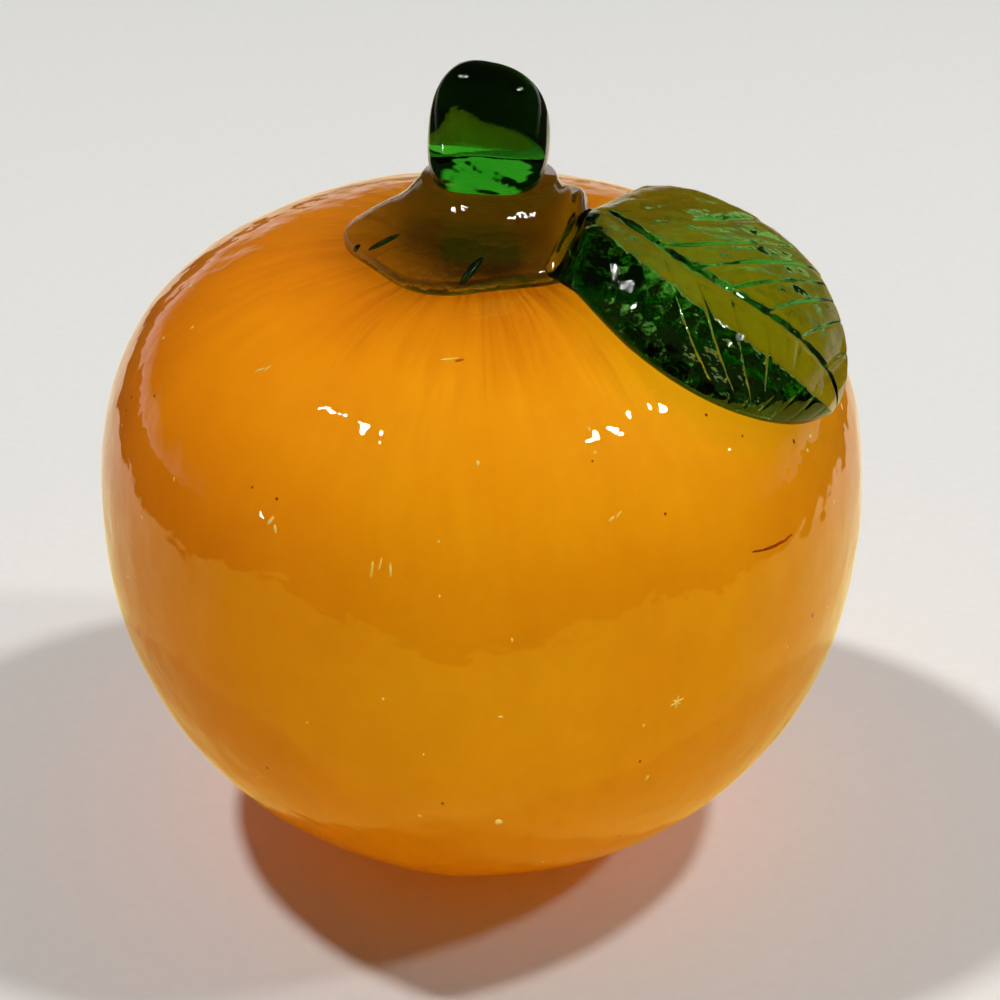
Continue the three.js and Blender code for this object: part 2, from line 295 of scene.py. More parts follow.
def calyx_sweep(plan, share):
    """Height at a share of the way from the boss to the rim: a steep fillet, then a swollen spread
    foot."""
    spread = skin_height(plan) + CALYX_EDGE + CALYX_SWELL * (1 - share ** 3)
    return spread + (SEAT - spread) * (1 - share) ** CALYX_FILLET


def calyx_top(angle, share):
    """A point of the calyx's top, at a bearing and a share of the way from the boss to the lobed rim. A
    saddle, bell-shaped round its bearing, swells up to meet the leaf."""
    boss = BOSS_CENTRE + np.stack([np.cos(angle), np.sin(angle)], -1) * BOSS_RADIUS
    plan = boss + (calyx_rim(angle) - boss) * share[..., None]
    from_leaf = np.angle(np.exp(1j * (angle - SADDLE_BEARING)))
    saddle = SADDLE * np.exp(-(from_leaf / SADDLE_WIDTH) ** 2)
    height = calyx_sweep(plan, share) + saddle * np.sin(np.pi * share ** 2)
    return np.concatenate([plan, height[..., None]], -1)


def calyx_height(plan):
    """Height of the calyx's top over the ground, with the rim taken as a plain circle and no saddle."""
    away = plan - BOSS_CENTRE
    distance = np.linalg.norm(away, axis=-1)
    shift = CALYX_CENTRE - BOSS_CENTRE
    along = (away @ shift) / (distance + 1e-9)
    rim = along + np.sqrt(CALYX_RADIUS ** 2 - shift @ shift + along ** 2)
    return calyx_sweep(plan, rise(distance, BOSS_RADIUS, rim))


def calyx_rings(columns=144, top_steps=60, under_steps=24):
    """The spread foot of the stem: a flat boss that sweeps down and out to a lobed rim, and an underside
    that lies a little below the body's skin."""
    angle = np.linspace(0, -2 * np.pi, columns, endpoint=False)
    share = CALYX_LIP * np.linspace(0, 1, top_steps)[:, None] ** CALYX_CROWDING
    top = calyx_top(angle, share + 0 * angle)
    top[..., 2] += ripples(top, **CALYX_RIPPLES) * np.sin(np.pi * share)
    rim = calyx_rim(angle)
    lip = np.concatenate([rim, (skin_height(rim) + CALYX_EDGE / 2)[:, None]], -1)
    inward = np.linspace(*CALYX_UNDER, under_steps)[:, None, None]
    under = CALYX_CENTRE + (rim - CALYX_CENTRE) * inward
    below = np.concatenate([under, (skin_height(under) - SUNK)[..., None]], -1)
    return np.concatenate([top, lip[None], below])


# Stem

def unit(vectors):
    """The same headings, one metre long."""
    return vectors / np.linalg.norm(vectors, axis=-1, keepdims=True)


def powered(wave):
    """A sine or cosine raised to the power that squares a circle off, with its sign kept."""
    return np.sign(wave) * np.abs(wave) ** (2 / STEM_SQUARENESS)


def stem_rings(columns=160, steps=90, foot_steps=60):
    """A stub of rod: rounded squares whose reach follows a superellipse from the foot to the domed top,
    and that tilt more and more. The lower edge is drawn in, the back falls in faster than the front, and
    the foot is crinkled, where it was pressed on the cooler calyx."""
    share = np.sin(np.linspace(0, STEM_TOP, steps) * np.pi / 2)[:, None]
    foot_centre = np.array([*BOSS_CENTRE, SEAT + STEM_SEAM])
    centre = foot_centre + share * [STEM_SWAY, STEM_LEAN, STEM_HEIGHT]
    heading = unit([0, 0, 1] + share * [math.tan(STEM_TILT_RIGHT), math.tan(STEM_TILT_BACK), 0])
    sideways = np.array([math.cos(STEM_TURN), math.sin(STEM_TURN), 0])
    right = unit(sideways - heading * (heading @ sideways)[:, None])
    ahead = np.cross(heading, right)
    reach = STEM_HALF * (1 - share ** STEM_SHOULDER) ** (1 / STEM_DOME)
    reach = reach * (1 - STEM_FOOT_ROUND * np.exp(-share / STEM_FOOT_REACH))
    angle = np.linspace(0, 2 * np.pi, columns, endpoint=False)
    x = powered(np.cos(angle)) * reach
    y = powered(np.sin(angle)) * reach
    y = y * (1 - np.where(y > 0, STEM_BACK_THINNING, STEM_THINNING) * share)
    from_axis = right[:, None] * x[..., None] + ahead[:, None] * y[..., None]
    rings = centre[:, None] + from_axis
    dent = ripples(rings, **STEM_DENTS)
    rings = rings + unit(from_axis) * ((dent - dent.max()) * reach / STEM_HALF)[..., None]
    inward = np.linspace(*FOOT_SPAN, foot_steps)[:, None, None]
    foot = centre[0] + (rings[0] - centre[0]) * inward
    crinkle = ripples(foot, **FOOT_CRINKLES)
    foot[..., 2] += (crinkle - crinkle.min()) * (1 - inward[..., 0] ** FOOT_CALM)
    return np.concatenate([foot, rings])


# Leaf

def drape(along, across, lift, steps=2000):
    """A point above the body: lengths along and across the leaf are laid out on the skin from the axis,
    as a distance over the crown and a bearing, and lift is measured square to the skin."""
    r = BODY_RADIUS * np.sin(np.linspace(0, 1, steps) * np.pi / 2)
    line = np.stack([r, crown_height(OUTER_SKIN, r)], -1)
    length = np.concatenate([[0], np.cumsum(np.linalg.norm(np.diff(line, axis=0), axis=1))])
    slope = unit(np.gradient(line, axis=0))
    at = np.hypot(along, across)
    bearing = LEAF_AZIMUTH + np.arctan2(across, along)
    out = np.interp(at, length, line[:, 0]) - np.interp(at, length, slope[:, 1]) * lift
    up = np.interp(at, length, line[:, 1]) + np.interp(at, length, slope[:, 0]) * lift
    return np.stack([out * np.cos(bearing), out * np.sin(bearing), up], -1)


def arch_of(share):
    """Half a sine wave from root to tip."""
    return np.maximum(np.sin(np.pi * share), 0)


def leaf_half_width(share, across):
    """Half-width at a share of the length: half a sine wave, leant to the tip and filled out, and a stalk
    that tapers off."""
    blade = arch_of(share ** LEAF_WIDEST) ** LEAF_ROUNDNESS
    width = np.where(across < 0, LEAF_FRONT_WIDTH, LEAF_BACK_WIDTH) * blade
    return width + PETIOLE_WIDTH * (1 - share) ** PETIOLE_TAPER


def leaf_relief(row, column, share, across):
    """Height of what the mould left on the top: a bell-shaped fold near the back edge, less the deeper of
    the midrib's bell and the side veins, and less fine lines on the fall of the front. The veins are a
    cosine raised to a high power, and two waves out of step make their depth uneven."""
    step = np.sin(9.7 * VEINS * row + 4 * np.sign(column)) * np.cos(5.1 * row + 7 * column)
    vein = VEIN_DEPTH * (VEIN_MEAN + (1 - VEIN_MEAN) * step) * (1 - column ** 4)
    vein = vein * np.abs(np.cos(np.pi * VEINS * row)) ** VEIN_SHARPNESS
    vein = vein * rise(share, *VEIN_RISE) * rise(across, *VEIN_STOP) * np.where(column < 0, VEIN_FRONT, 1)
    midrib = MIDRIB_DEPTH * np.exp(-(column / MIDRIB_HALF_WIDTH) ** 2) * rise(share, *MIDRIB_RISE)
    groove = np.maximum(vein, midrib) * arch_of(share) ** 0.3
    crimp = CRIMP_DEPTH * np.abs(np.cos(np.pi * CRIMPS * share)) ** CRIMP_SHARPNESS
    lengthwise = (share - FOLD_SHARE) / FOLD_LENGTH
    crosswise = (across - FOLD_ACROSS) / FOLD_BREADTH
    fold = FOLD_HEIGHT * np.exp(-lengthwise ** 2 - crosswise ** 2)
    return fold - groove - crimp * rise(across, *CRIMP_RISE)


def leaf_rings(rows=320, columns=110):
    """The leaf: lines of equal row are side veins that lean to the tip, and columns run from the back edge
    over the midrib to the front edge and back below. A thick middle falls off to a thin round edge, and
    the root thins out to a film and sinks into the calyx."""
    row = np.linspace(LEAF_START, LEAF_END, rows)[:, None]
    turn = np.linspace(0, 2 * np.pi, 2 * columns, endpoint=False)
    column = np.cos(turn)
    is_top = np.sin(turn) >= 0
    side = np.abs(column)
    swept = rise(row, LEAF_START, LEAF_START + VEIN_SWEEP_START)
    lean = 6.75 * row * (1 - row) ** 2  # a hump whose top is 1
    share = row + VEIN_SWEEP * side * lean * swept
    arch = arch_of(share)
    across = column + MIDRIB_DRIFT * arch * (1 - column ** 2)
    feather = np.maximum(rise(row, LEAF_START, LEAF_START + LEAF_FEATHER), LEAF_FILM)
    grown = np.sin(np.pi / 2 * feather) ** LEAF_BLUNTNESS
    half = LEAF_EDGE / 2 * np.maximum(1 - side ** LEAF_RIM, 0) ** 0.5 * grown
    fall = rise(np.abs(across), LEAF_FLAT, 1) ** LEAF_BEVEL
    swell = LEAF_SWELL * np.maximum(1 - share ** LEAF_TIP, 0) ** 0.5 * grown * (1 - fall)
    climb = LEAF_BACK_RISE * arch + LEAF_ROOT_RISE * (1 - share) ** LEAF_ROOT_REACH
    seated = rise(row, LEAF_START, LEAF_START + LEAF_SINKING)
    lift = (LEAF_CLEARANCE + LEAF_EDGE / 2 + climb * (1 + across) / 2) * seated
    lift = lift + np.where(is_top, half + swell + leaf_relief(row, column, share, across), -half)
    sideways = leaf_half_width(share, across) * across + LEAF_BEND * share ** 2
    bed = drape(LEAF_ROOT + LEAF_LENGTH * share, sideways, lift)
    calm = is_top * arch ** 0.5 * (1 - side ** 6)
    bed[..., 2] += (ripples(bed, **LEAF_RIPPLES) - LEAF_SETTLING) * calm
    plan = bed[..., :2]
    over_calyx = np.maximum(calyx_height(plan) - SUNK - skin_height(plan), 0)
    bed[..., 2] += over_calyx * rise(share, *LEAF_ON_CALYX)
    return bed


# Flaws in the glass

def on_skin(azimuth, height, depth):
    """Points below the body's skin at given bearings and heights, and the directions there: round the
    body, up its section and outward."""
    section = half_section(OUTER_SKIN, 200, 400)
    section = section[:np.argmax(section[:, 1]) + 1]
    normal = outward(section)
    columns = section[:, 0], normal[:, 0], normal[:, 1]
    r, out, up = (np.interp(height, section[:, 1], column)[:, None] for column in columns)
    level = 0 * azimuth
    bearing = np.stack([np.cos(azimuth), np.sin(azimuth), level], -1)
    around = np.stack([-np.sin(azimuth), np.cos(azimuth), level], -1)
    outwards = bearing * out + [0, 0, 1] * up
    centre = bearing * r + [0, 0, 1] * height[:, None] - outwards * depth[:, None]
    return centre, around, np.cross(outwards, around), outwards


def seeds(count, smallest, largest, seed):
    """Centres and half-axes of tiny bubbles, strewn evenly through the casing and drawn out a little
    upwards."""
    dice = np.random.default_rng(seed)
    azimuth = dice.uniform(-np.pi, np.pi, count)
    height = dice.uniform(*SEED_HEIGHTS, count) * MM
    depth = dice.uniform(*SEED_DEPTHS, count) * MM
    centre, around, rising, out = on_skin(azimuth, height, depth)
    size = dice.uniform(smallest, largest, count)[:, None] * MM
    drawn = size * dice.uniform(*SEED_DRAWING, (count, 1))
    return centre, np.stack([around * size, rising * drawn, out * size], 1)


def slivers(table, depth):
    """Centres and half-axes of drawn-out flaws, from rows of bearing, height, half-length, half-width and
    lean from level, in degrees and millimetres."""
    azimuth, height, length, width, lean = np.array(table).T
    depths = np.full(len(azimuth), depth)
    centre, around, rising, out = on_skin(np.radians(azimuth), height * MM, depths)
    lean = np.radians(lean)[:, None]
    along = around * np.cos(lean) + rising * np.sin(lean)
    across = rising * np.cos(lean) - around * np.sin(lean)
    length, width = length[:, None] * MM, width[:, None] * MM
    return centre, np.stack([along * length, across * width, out * width], 1)


def calyx_marks(table):
    """Centres and half-axes of cuts just under the calyx's top, from rows of bearing and share at both
    ends, and half-width in millimetres."""
    from_angle, from_share, to_angle, to_share, width = np.array(table).T
    start = calyx_top(np.radians(from_angle), from_share)
    end = calyx_top(np.radians(to_angle), to_share)
    along = (end - start) / 2
    across = unit(np.cross(along, [0, 0, 1]))
    deep = unit(np.cross(along, across))
    width = width[:, None] * MM
    middle = (start + end) / 2 - [0, 0, CUT_DEPTH]
    return middle, np.stack([along, across * width, deep * width], 1)


def joined(*groups):
    """Groups of flaws as one group."""
    return [np.concatenate(parts) for parts in zip(*groups)]


GLINT_DEPTH, FLECK_DEPTH, CUT_DEPTH = 1.2 * MM, 2.5 * MM, 0.5 * MM
# drawn-out bubbles, whose pale tone is a painted glint
GLINTS = [
    (-105.6, 52.2, 0.9, 0.14, 86), (-104.4, 52.9, 0.7, 0.10, 80), (-102.9, 52.4, 0.8, 0.13, 94),
    (-71.0, 56.8, 0.45, 0.16, 30), (-69.8, 57.1, 0.5, 0.10, 40), (-122.0, 54.9, 0.6, 0.2, 60),
    (-121.0, 54.2, 0.5, 0.16, 110), (-136.5, 66.0, 0.6, 0.14, 50), (-135.2, 66.3, 0.5, 0.1, 70),
    (-97.5, 69.0, 1.0, 0.12, 12), (-61.5, 35.0, 0.9, 0.12, 20), (-61.5, 35.0, 0.8, 0.12, 80),
    (-61.5, 35.0, 0.7, 0.12, 140), (-87.5, 21.0, 0.45, 0.42, 0), (-87.5, 36.5, 0.3, 0.15, 0)]
FLECKS = [
    (-46.0, 48.9, 1.1, 0.13, -12), (-43.5, 48.6, 1.4, 0.2, -8), (-41.2, 48.5, 1.3, 0.17, -4),
    (-39.4, 48.6, 0.8, 0.12, 8), (-95.4, 69.2, 0.5, 0.14, 20)]
CUTS = [(-155, 0.90, -146, 0.52, 0.42), (-96, 0.95, -88, 0.60, 0.5)]
CALYX_BUBBLES = [
    (-164, 0.93, -162, 0.95, 0.42), (-102.5, 0.81, -103.5, 0.83, 0.2), (-112, 0.5, -112.6, 0.51, 0.15)]
SEED_HEIGHTS, SEED_DEPTHS, SEED_DRAWING = (6, 69), (0.6, 3.5), (1, 2)
PALE_SEEDS = dict(count=80, smallest=0.1, largest=0.2, seed=31)
DARK_SEEDS = dict(count=40, smallest=0.1, largest=0.18, seed=32)


# Materials

BUMP_DEPTH = 0.3 * MM
WISP_TONES = (0.66, 0.18, 0.001, 1), (0.97, 0.37, 0.008, 1)
CLOUD_TONES = (0.88, 0.293, 0.002, 1), (0.98, 0.376, 0.004, 1)
MILK_TONES = (0.78, 0.70, 0.56, 1), (0.92, 0.88, 0.78, 1)
# painted glint: the pale tone of the seeds and glint slivers stands in for light glinting off bubbles
PAINTED_GLINT_TONES = (1.0, 0.62, 0.12, 1), (1.0, 0.85, 0.45, 1)
DARK_TONES = (0.26, 0.02, 0.005, 1), (0.45, 0.08, 0.008, 1)
CUT_TONES = (0.001, 0.012, 0.002, 1), (0.01, 0.09, 0.012, 1)
CASING_TINT, APPLIED_TINT = (1, 0.98, 0.94, 1), (0.97, 1, 0.95, 1)
THIN_GREEN = (0.54, 0.64, 0.02, 1)  # spread out thin, the glass lets the glow of the fruit through
STEM_GREEN = (0.2, 0.76, 0.02, 1)
LEAF_GREEN = (0.27, 0.7, 0.02, 1)

# Where the orange colour changes, and where shade is painted into it: radii round the stem, and the left
# flank
WISP_SPREAD, WISP_GRAIN = 7, (26, 26, 60)  # wisps round the stem, and how fast they change along it
WISP_REACH = 10 * MM, 31 * MM
# painted shade: the orange turns redder towards the stem end and on the left flank
RED_SHADE_REACH = 10 * MM, 26 * MM
LEFT_SHADE_FLANK = -34 * MM, -8 * MM
# painted shade: dark in the dimple under the calyx and stem, and a little dimmer round it
DIMPLE_SHADE = 3 * MM, 9 * MM
CROWN_SHADE = 9 * MM, 24 * MM


def node(tree, kind, inputs=None, **settings):
    """One shader node. Inputs are plain values or the outputs of other nodes."""
    made = tree.nodes.new("ShaderNode" + kind)
    for key, value in settings.items():
        setattr(made, key, value)
    for key, value in (inputs or {}).items():
        if isinstance(value, bpy.types.NodeSocket):
            tree.links.new(value, made.inputs[key])
        else:
            made.inputs[key].default_value = value
    return made


def mapped(tree, value, low, high, first=0, last=1):
    """A value carried from one range to another, and held at the ends."""
    return node(tree, "MapRange", {0: value, 1: low, 2: high, 3: first, 4: last}).outputs[0]


def maths(tree, operation, *values):
    """A calculation on one or two numbers."""
    return node(tree, "Math", dict(enumerate(values)), operation=operation).outputs[0]


def vectors(tree, operation, *values, output=0, **named):
    """A calculation on one or two vectors or colours."""
    inputs = {**dict(enumerate(values)), **named}
    return node(tree, "VectorMath", inputs, operation=operation).outputs[output]


def noise(tree, place, scale, detail, **more):
    """Cloudy noise in the piece's own coordinates."""
    return node(tree, "TexNoise", {"Vector": place, "Scale": scale, "Detail": detail, **more}).outputs[0]


def mixed(tree, share, first, second):
    """Two colours, mixed by a share."""
    return node(tree, "MixRGB", {0: share, 1: first, 2: second}).outputs[0]


def either(tree, share, first, second):
    """Two shaders, mixed by a share."""
    return node(tree, "MixShader", {0: share, 1: first, 2: second}).outputs[0]


def two_tone(tree, value, low, high, tones):
    """A ramp between two tones, the first up to a low value and the second from a high one."""
    made = node(tree, "ValToRGB", {0: value})
    for element, position, tone in zip(made.color_ramp.elements, (low, high), tones):
        element.position = position
        element.color = tone
    return made.outputs[0]


def uneven_normal(tree, place, scale, detail, strength):
    """The normal of a surface with a fine ripple."""
    ripple = noise(tree, place, scale, detail)
    bump = {"Height": ripple, "Strength": strength, "Distance": BUMP_DEPTH}
    return node(tree, "Bump", bump).outputs[0]


def new_material(name):
    """An empty material, its node tree and the piece's own coordinates."""
    made = bpy.data.materials.new(name)
    made.use_nodes = True
    tree = made.node_tree
    tree.nodes.clear()
    return made, tree, node(tree, "TexCoord").outputs["Object"]


def finished(made, tree, shader, volume=None):
    """The material, with its surface and what fills it."""
    out = node(tree, "OutputMaterial")
    tree.links.new(shader, out.inputs["Surface"])
    if volume is not None:
        tree.links.new(volume, out.inputs["Volume"])
    return made


def glass_shader(tree, colour, normal):
    """Smooth, clear glass."""
    return node(tree, "BsdfPrincipled", {
        "Base Color": colour, "Roughness": 0.0, "IOR": 1.5, "Transmission Weight": 1,
        "Normal": normal}).outputs[0]


def clear_glass():
    """Clear casing: smooth glass with a fine hand-worked ripple."""
    made, tree, place = new_material("clear_glass")
    normal = uneven_normal(tree, place, scale=220, detail=2, strength=0.7)
    return finished(made, tree, glass_shader(tree, CASING_TINT, normal))


def orange_glass():
    """Orange colour under the casing: uneven wisps drawn out from the stem end, over soft cloudy patches.
    Painted shade makes the colour redder towards the stem end and on the left, and dark in the dimple and
    a little dimmer round it."""
    made, tree, place = new_material("orange_glass")
    flat = vectors(tree, "MULTIPLY", place, (1, 1, 0))
    radius = vectors(tree, "LENGTH", flat, output="Value")
    bearing = vectors(tree, "NORMALIZE", flat)
    spread = vectors(tree, "SCALE", bearing, Scale=WISP_SPREAD)
    drawn = vectors(tree, "MULTIPLY", place, WISP_GRAIN)
    wisp_place = vectors(tree, "ADD", spread, drawn)
    wisp = noise(tree, wisp_place, scale=1.7, detail=6, Roughness=0.6, Distortion=0.5)
    wisps = two_tone(tree, wisp, 0.32, 0.62, WISP_TONES)
    cloud = noise(tree, place, scale=45, detail=6, Roughness=0.6)
    clouds = two_tone(tree, cloud, 0.3, 0.7, CLOUD_TONES)
    patchy = mapped(tree, noise(tree, place, scale=75, detail=2), 0.38, 0.62, first=0.25)
    near_stem = mapped(tree, radius, *WISP_REACH, first=1, last=0.12)
    colour = mixed(tree, maths(tree, "MULTIPLY", near_stem, patchy), clouds, wisps)
    # painted shade: green and blue are cut towards the stem end and on the left flank, so the orange turns
    # a redder shade there
    red_shade_round_stem = mapped(tree, radius, *RED_SHADE_REACH, first=0.7)
    rightwards = node(tree, "SeparateXYZ", {0: place}).outputs[0]
    red_shade_left_flank = mapped(tree, rightwards, *LEFT_SHADE_FLANK, first=0.76)
    red_shade = maths(tree, "MULTIPLY", red_shade_round_stem, red_shade_left_flank)
    red_shade_filter = node(tree, "CombineXYZ", {0: 1, 1: red_shade, 2: red_shade}).outputs[0]
    deep = vectors(tree, "MULTIPLY", colour, red_shade_filter)
    # painted shade: the orange is darkened in the dimple under the calyx and stem, and a little round it
    dimple_painted_shade = mapped(tree, radius, *DIMPLE_SHADE, first=0.15)
    crown_painted_shade = mapped(tree, radius, *CROWN_SHADE, first=0.8)
    shade = maths(tree, "MULTIPLY", dimple_painted_shade, crown_painted_shade)
    shaded = vectors(tree, "SCALE", deep, Scale=shade)
    body = node(tree, "BsdfPrincipled", {
        "Base Color": shaded, "Roughness": 0.4, "Specular IOR Level": 0.1})
    return finished(made, tree, body.outputs[0])


def opal_glass():
    """Milky opal glass: near white, faintly cloudy."""
    made, tree, place = new_material("opal_glass")
    milk = two_tone(tree, noise(tree, place, scale=90, detail=3), 0, 1, MILK_TONES)
    body = node(tree, "BsdfPrincipled", {"Base Color": milk, "Roughness": 0.25})
    return finished(made, tree, body.outputs[0])


def green_glass(name, tint, density, lamp_share, uneven):
    """Green glass that darkens with depth, faintly uneven on its surface. It lets a share of the lamps'
    light straight through."""
    made, tree, place = new_material(name)
    normal = uneven_normal(tree, place, scale=420, detail=3, strength=uneven)
    glass = glass_shader(tree, APPLIED_TINT, normal)
    from_lamp = node(tree, "LightPath").outputs["Is Shadow Ray"]
    let_in = maths(tree, "MULTIPLY", from_lamp, lamp_share)
    clear = node(tree, "BsdfTransparent").outputs[0]
    depth = node(tree, "VolumeAbsorption", {"Color": tint, "Density": density})
    return finished(made, tree, either(tree, let_in, glass, clear), depth.outputs[0])


def fleck_glass(name, dark, light):
    """A shiny flaw inside the glass, mottled between two tones."""
    made, tree, place = new_material(name)
    mottle = mapped(tree, noise(tree, place, scale=900, detail=2), 0.35, 0.65)
    tone = mixed(tree, mottle, dark, light)
    body = node(tree, "BsdfPrincipled", {"Base Color": tone, "Roughness": 0.15})
    return finished(made, tree, body.outputs[0])


# Pieces

calyx_green = green_glass("calyx_glass", THIN_GREEN, density=285, lamp_share=0.4, uneven=0.4)
stem_green = green_glass("stem_glass", STEM_GREEN, density=380, lamp_share=0.4, uneven=0.1)
leaf_green = green_glass("leaf_glass", LEAF_GREEN, density=260, lamp_share=0.9, uneven=0.3)
piece("casing_glass", closed_mesh(casing_rings()), clear_glass(), "clear_glass", "clear_casing")
colour = piece("orange_colour", closed_mesh(colour_rings()), orange_glass(), "orange_glass",
               "orange_layer")
calyx = piece("calyx_glass", closed_mesh(calyx_rings()), calyx_green, "green_glass", "calyx")
stem = piece("stem_glass", closed_mesh(stem_rings()), stem_green, "green_glass", "stem")
leaf = piece("leaf_glass", closed_mesh(leaf_rings()), leaf_green, "green_glass", "leaf")
pale_flaws = joined(seeds(**PALE_SEEDS), slivers(GLINTS, GLINT_DEPTH))
dark_flaws = joined(seeds(**DARK_SEEDS), slivers(FLECKS, FLECK_DEPTH))
cut_flaws = calyx_marks(CUTS + CALYX_BUBBLES)
# real seeds and drawn-out bubbles, coloured pale yellow as a painted glint in place of their shine
pale = piece("pale_seeds", bead_mesh(*pale_flaws), fleck_glass("pale_seed", *PAINTED_GLINT_TONES), "clear_glass")
dark = piece("dark_seeds", bead_mesh(*dark_flaws), fleck_glass("dark_seed", *DARK_TONES), "orange_glass")
piece("calyx_cuts", bead_mesh(*cut_flaws, rings=9, columns=12), fleck_glass("calyx_cut", *CUT_TONES),
      "green_glass")
opal_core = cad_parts["opal_core"]
opal_core.data.materials.clear()
opal_core.data.materials.append(opal_glass())


# Stage

PALE = (0.77, 0.775, 0.765)
FAR_PALE = (0.76, 0.755, 0.735, 1)
# painted reflection: tones of the board as glass mirrors it, warmer and more golden than the board the
# camera sees
MIRRORED_PALE = (0.96, 0.88, 0.64, 1)
MIRRORED_GOLD = (0.92, 0.84, 0.05, 1)
DIM_FLOOR = (0.03, 0.022, 0.015, 1)
DIM_ROOM = (0.025, 0.02, 0.014, 1)
FRONT_FILL, REAR_FILL = (0.02, 0.02, 0.02, 1), (0.19, 0.19, 0.19, 1)
FLOOR_REACH = 3.0
BOARD_FRONT, BOARD_SIDE = -0.137, 0.165
BOARD_FRONT_EDGE, BOARD_SIDE_EDGE = 0.008, 0.01
BOARD_FADE = 0.5, 1.4  # the board fades into the backdrop between these distances
MIRRORED_WARMTH = 0.09, -0.05  # painted reflection: glass mirrors the board warm and golden, from behind the fruit to its front

# The room that glass shows, by the parts of a unit heading: right, back and up
WALL_BEHIND = -0.1, 0.5
LOW_WALL = 0.16, 0.0
TALL_WALL, TALL_WALL_SIDES = (0.78, 0.7), (0.4, 0.3)
FILL_BEHIND = -0.6, 0.6


def floor_material():
    """A pale board. What glass mirrors of it is a painted reflection, warmer and more golden than the
    board, and it ends at the board's edges, where the dim room begins.
    """
    made, tree, place = new_material("pale_floor")
    parts = node(tree, "SeparateXYZ", {0: place})
    away = mapped(tree, vectors(tree, "LENGTH", place, output="Value"), *BOARD_FADE)
    side = maths(tree, "ABSOLUTE", parts.outputs[0])
    beside = mapped(tree, side, BOARD_SIDE, BOARD_SIDE + BOARD_SIDE_EDGE)
    ahead = mapped(tree, parts.outputs[1], BOARD_FRONT, BOARD_FRONT - BOARD_FRONT_EDGE)
    off_board = maths(tree, "MAXIMUM", beside, ahead)
    grain = noise(tree, place, scale=700, detail=2)
    paint = mapped(tree, grain, 0, 1, first=0.97, last=1.03)
    painted = vectors(tree, "SCALE", PALE, Scale=paint)
    board = node(tree, "BsdfDiffuse", {"Color": painted}).outputs[0]
    distance = node(tree, "Emission", {"Color": FAR_PALE, "Strength": 1}).outputs[0]
    # painted reflection: rays mirrored by glass see the board in warm and gold tones
    in_front = mapped(tree, parts.outputs[1], *MIRRORED_WARMTH)
    mirrored_tint = mixed(tree, in_front, MIRRORED_PALE, MIRRORED_GOLD)
    painted_reflection = node(tree, "BsdfDiffuse", {"Color": mirrored_tint}).outputs[0]
    room = node(tree, "Emission", {"Color": DIM_FLOOR, "Strength": 1}).outputs[0]
    plain = either(tree, away, board, distance)
    gleam = either(tree, off_board, painted_reflection, room)
    mirrored = node(tree, "LightPath").outputs["Is Glossy Ray"]
    return finished(made, tree, either(tree, mirrored, plain, gleam))


def lay_floor():
    """A flat square under the fruit."""
    mesh = bpy.data.meshes.new("floor")
    corners = [(x * FLOOR_REACH, y * FLOOR_REACH, 0) for x, y in ((-1, -1), (1, -1), (1, 1), (-1, 1))]
    mesh.from_pydata(corners, [], [(0, 1, 2, 3)])
    mesh.materials.append(floor_material())
    floor = bpy.data.objects.new("floor", mesh)
    bpy.context.collection.objects.link(floor)
    return floor


def light_room():
    """A pale backdrop for the camera, an even fill that is stronger behind, and for glass a room that is
    dim overhead and in front, with a low pale wall behind the fruit. Through glass, that wall is taller
    straight behind."""
    world = bpy.data.worlds.new("room")
    world.use_nodes = True
    tree = world.node_tree
    tree.nodes.clear()
    path = node(tree, "LightPath").outputs
    heading = node(tree, "SeparateXYZ", {0: node(tree, "TexCoord").outputs["Generated"]}).outputs
    behind = mapped(tree, heading[1], *WALL_BEHIND)
    low = mapped(tree, heading[2], *LOW_WALL)
    tall = mapped(tree, heading[2], *TALL_WALL)
    straight = mapped(tree, maths(tree, "ABSOLUTE", heading[0]), *TALL_WALL_SIDES)
    window = maths(tree, "MULTIPLY", tall, straight)
    through = maths(tree, "MAXIMUM", low, window)
    height = mixed(tree, path["Is Transmission Ray"], low, through)
    wall = maths(tree, "MULTIPLY", behind, height)
    room = mixed(tree, wall, DIM_ROOM, FAR_PALE)
    seen = mixed(tree, path["Is Camera Ray"], room, FAR_PALE)
    soft = mixed(tree, mapped(tree, heading[1], *FILL_BEHIND), FRONT_FILL, REAR_FILL)
    fill = mixed(tree, path["Is Diffuse Ray"], seen, soft)
    sky = node(tree, "Background", {"Color": fill, "Strength": 1}).outputs[0]
    tree.links.new(sky, node(tree, "OutputWorld").inputs["Surface"])
    bpy.context.scene.world = world


def group(name, *members):
    """A collection that lamps can light or be blocked by."""
    made = bpy.data.collections.new(name)
    for member in members:
        made.objects.link(member)
    return made


def lamp(name, direction, distance, size, power, colour, lit=None, shaded_by=None):
    """A round lamp that looks at the fruit. With a group to light, it lights that alone and does not show.
    With none, it only shows in reflections."""
    data = bpy.data.lights.new(name, "AREA")
    data.shape = "DISK"
    data.size = size
    data.energy = power
    data.color = colour
    data.cycles.use_multiple_importance_sampling = lit is None
    towards = Vector(direction).normalized()
    made = bpy.data.objects.new(name, data)
    made.location = Vector((0, 0, EQUATOR)) + towards * distance
    made.rotation_euler = towards.to_track_quat("Z", "Y").to_euler()
    made.visible_transmission = False
    made.visible_glossy = lit is None
    made.visible_diffuse = lit is not None
    made.light_linking.receiver_collection = lit
    made.light_linking.blocker_collection = shaded_by
    bpy.context.collection.objects.link(made)


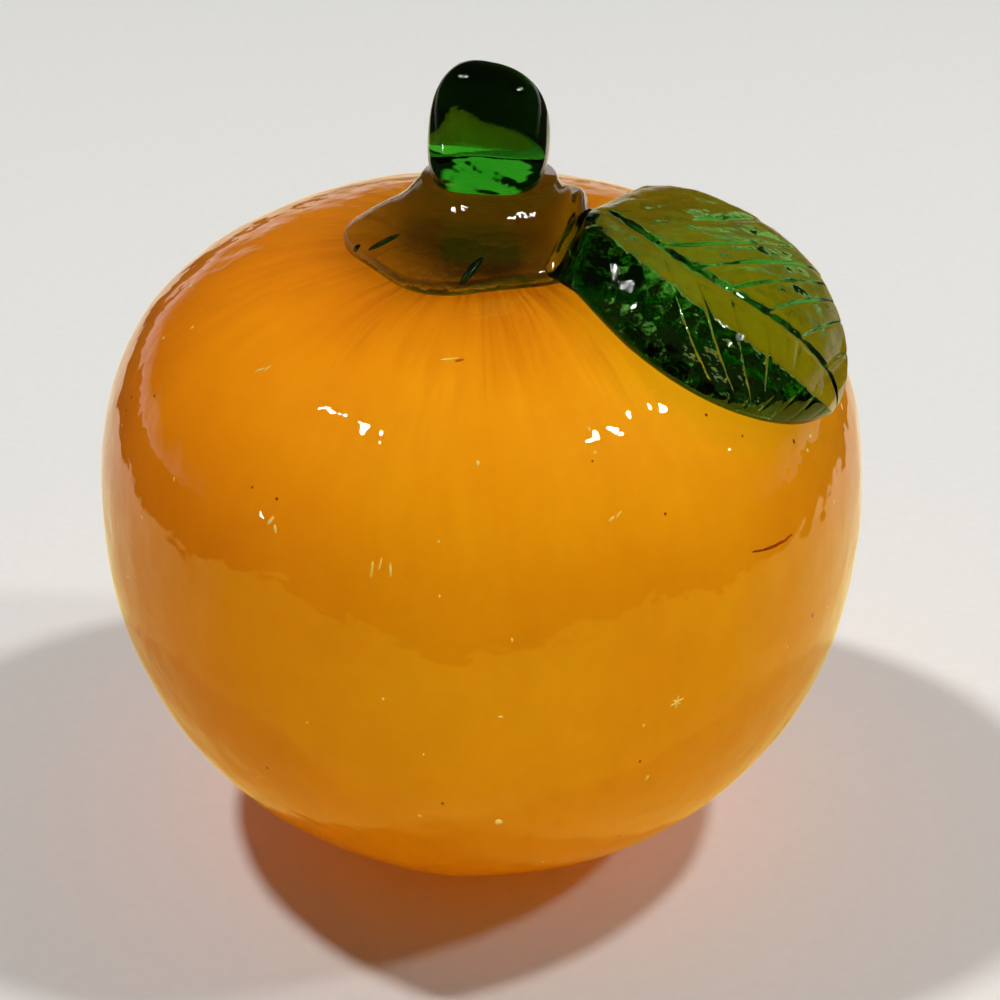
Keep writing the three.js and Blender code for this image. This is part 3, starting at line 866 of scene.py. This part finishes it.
def place_camera():
    """The photograph's camera, which looks down at the middle of the fruit."""
    data = bpy.data.cameras.new("photo_camera")
    data.sensor_width = SENSOR
    data.lens = SENSOR * FOCUS_PIXELS / FRAME_PIXELS
    data.shift_x = 0.5 - AXIS_PIXEL / FRAME_PIXELS
    camera = bpy.data.objects.new("photo_camera", data)
    back, up = math.cos(VIEW_ELEVATION), math.sin(VIEW_ELEVATION)
    camera.location = (0, -VIEW_DISTANCE * back, EQUATOR + VIEW_DISTANCE * up)
    camera.rotation_euler = (math.pi / 2 - VIEW_ELEVATION, 0, 0)
    bpy.context.collection.objects.link(camera)
    bpy.context.scene.camera = camera


# Lamps, as rows of direction and power, and bulbs, as rows of direction and size
WARM_WHITE = (1.0, 0.965, 0.92)
KEY_WHITE = (1.0, 0.98, 0.95)
GLOW_COLOUR = (1.0, 0.86, 0.62)
GOLD = (0.5, 1.0, 0.22)
KEY_LAMPS = [((-0.43, 0.06, 0.9), 7.4), ((0.5, 0, 0.86), 5.6), ((0.8, -0.03, 0.6), 3.2)]
KEY_DISTANCE, KEY_SIZE = 1.2, 0.1
GOLD_DIRECTION, GOLD_POWER = (0.08, -0.5, 0.87), 1.9
GOLD_DISTANCE, GOLD_SIZE = 0.8, 0.4
SOFT_LAMPS = [((-0.34, -0.55, 0.76), 1.6), ((0.34, -0.55, 0.76), 3.1), ((0, 0.5, 0.87), 0.3)]
SOFT_DISTANCE, SOFT_SIZE = 1.2, 0.6
GLOW_LAMPS = [
    ((1, 0, 0), 0.7), ((0, 1, 0), 0.7), ((-1, 0, 0), 0.2), ((0, 0, -1), 3.0), ((0, -0.25, 0.97), 1.3)]
GLOW_DISTANCE, GLOW_SIZE = 0.8, 0.8
BULBS = [
    ((-0.50, 0.00, 0.86), 0.06), ((-0.45, -0.04, 0.89), 0.04), ((-0.35, -0.17, 0.92), 0.07),
    ((0.44, -0.26, 0.86), 0.08), ((0.50, -0.16, 0.85), 0.06), ((0.56, -0.04, 0.82), 0.07),
    ((0.89, -0.07, 0.46), 0.05), ((-0.90, -0.40, 0.18), 0.05)]
BULB_DISTANCE, BULB_BRIGHTNESS = 1.2, 190

floor_only = group("floor_only", lay_floor())
colour_only = group("colour_only", colour, pale, dark)
applied = group("applied", calyx, stem, leaf)
core_only = group("core_only", opal_core)  # it lies under the colour, so as a blocker it casts no shade
light_room()
place_camera()
for number, (direction, power) in enumerate(KEY_LAMPS):
    lamp(f"key_{number}", direction, KEY_DISTANCE, KEY_SIZE, power, KEY_WHITE, floor_only)
lamp("gold_fill", GOLD_DIRECTION, GOLD_DISTANCE, GOLD_SIZE, GOLD_POWER, GOLD, colour_only, core_only)
for number, (direction, power) in enumerate(SOFT_LAMPS):
    lamp(f"soft_{number}", direction, SOFT_DISTANCE, SOFT_SIZE, power, WARM_WHITE, colour_only, applied)
for number, (direction, power) in enumerate(GLOW_LAMPS):
    lamp(f"glow_{number}", direction, GLOW_DISTANCE, GLOW_SIZE, power, GLOW_COLOUR, colour_only, core_only)
for number, (direction, size) in enumerate(BULBS):
    lamp(f"bulb_{number}", direction, BULB_DISTANCE, size, BULB_BRIGHTNESS * size ** 2, WARM_WHITE)
bpy.context.scene.view_settings.view_transform = "Standard"
